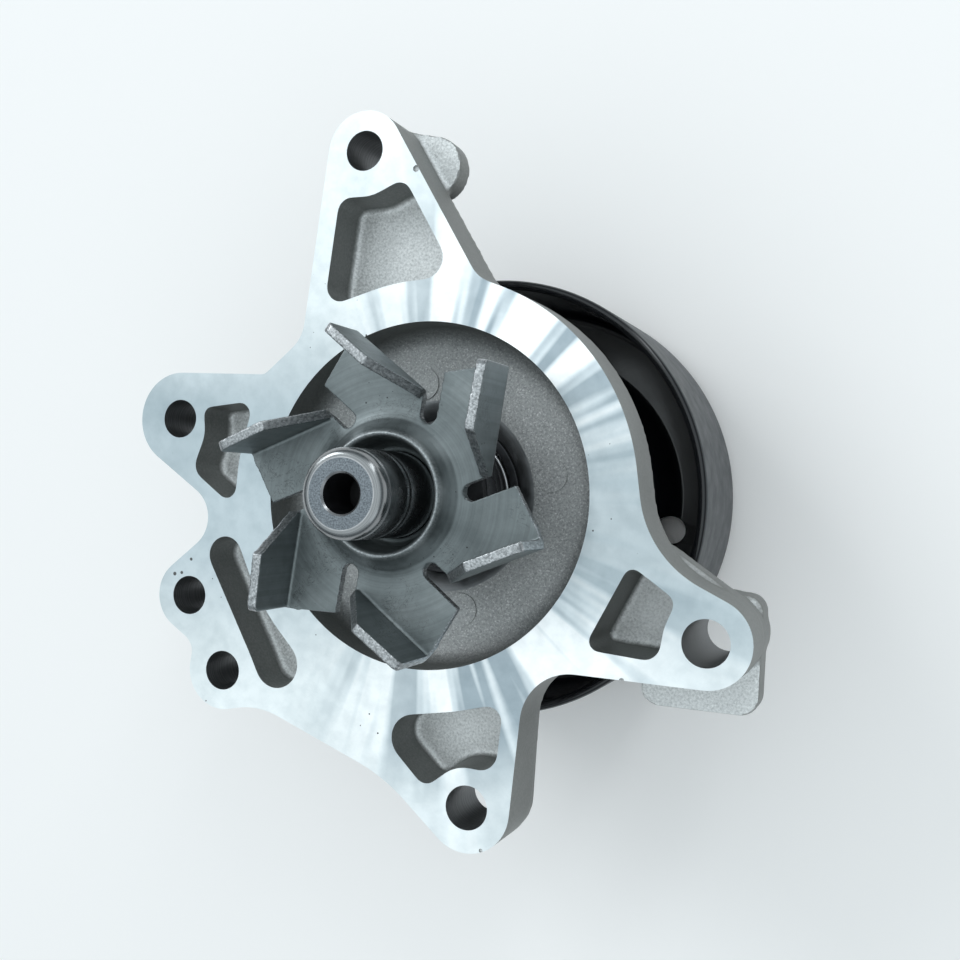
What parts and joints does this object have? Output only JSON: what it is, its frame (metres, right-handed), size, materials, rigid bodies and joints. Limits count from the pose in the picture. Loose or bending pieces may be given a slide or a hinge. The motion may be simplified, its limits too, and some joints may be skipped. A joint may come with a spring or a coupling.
{
  "type": "engine water pump",
  "caption": "Engine coolant pump with a star-shaped cast body, bolt lugs, a stamped open impeller and a smooth belt pulley.",
  "frame": {"origin": "on the pump axis, in the flat end face of the shaft at the pulley end, which is level with the lowest face of the pulley", "axes": "+Z along the pump axis from the pulley towards the impeller and the joint face; +X and +Y lie in the joint face, with +Y towards the top bolt lug"},
  "size_m": [0.1143, 0.1248, 0.0948],
  "materials": {
    "cast_aluminium": "bright milled faces on satin grey die casting",
    "stamped_steel": "satin cold-rolled sheet with sheared edges",
    "ground_steel": "ground and polished",
    "bearing_steel": "mirror polished",
    "cage_polymer": "glass-filled moulding",
    "seal_rubber": "matt moulded rubber",
    "spring_steel": "bright drawn",
    "seal_lacquer": "black sealing lacquer on a drawn steel cup",
    "seal_carbon": "lapped carbon graphite",
    "seal_carbide": "lapped silicon carbide",
    "pulley_paint": "gloss black inside, satin grey running band",
    "hub_steel": "black oxide"
  },
  "bodies": {
    "housing": {"pump_body": "cast_aluminium", "bearing_outer_race": "ground_steel", "bearing_seal_wet_end": "seal_rubber", "bearing_seal_pulley_end": "seal_rubber", "seal_cup": "seal_lacquer", "seal_spring": "spring_steel", "seal_bellows": "seal_rubber", "seal_carbon_ring": "seal_carbon"},
    "rotor": {"shaft": "ground_steel", "impeller": "stamped_steel", "pulley": "pulley_paint", "pulley_hub": "hub_steel", "slinger": "spring_steel", "seal_mating_ring": "seal_carbide", "mating_ring_boot": "seal_rubber"},
    "ball_row": {"ball_cage": "cage_polymer", "bearing_ball_1": "bearing_steel", "bearing_ball_2": "bearing_steel", "bearing_ball_3": "bearing_steel", "bearing_ball_4": "bearing_steel", "bearing_ball_5": "bearing_steel", "bearing_ball_6": "bearing_steel", "bearing_ball_7": "bearing_steel", "bearing_ball_8": "bearing_steel"},
    "roller_row": {"roller_cage": "cage_polymer", "bearing_roller_1": "bearing_steel", "bearing_roller_2": "bearing_steel", "bearing_roller_3": "bearing_steel", "bearing_roller_4": "bearing_steel", "bearing_roller_5": "bearing_steel", "bearing_roller_6": "bearing_steel", "bearing_roller_7": "bearing_steel", "bearing_roller_8": "bearing_steel", "bearing_roller_9": "bearing_steel", "bearing_roller_10": "bearing_steel"}
  },
  "joints": [
    {"name": "rotor_spin", "type": "hinge", "parent": "housing", "child": "rotor", "pos_m": [0, 0, 0.03], "axis": [0, 0, 1], "continuous": true},
    {"name": "ball_row_spin", "type": "hinge", "parent": "housing", "child": "ball_row", "pos_m": [0, 0, 0.037], "axis": [0, 0, 1], "continuous": true},
    {"name": "roller_row_spin", "type": "hinge", "parent": "housing", "child": "roller_row", "pos_m": [0, 0, 0.022], "axis": [0, 0, 1], "continuous": true}
  ],
  "couplings": [
    {"joint": "ball_row_spin", "follows": "rotor_spin", "ratio": 0.3606},
    {"joint": "roller_row_spin", "follows": "rotor_spin", "ratio": 0.4045}
  ]
}
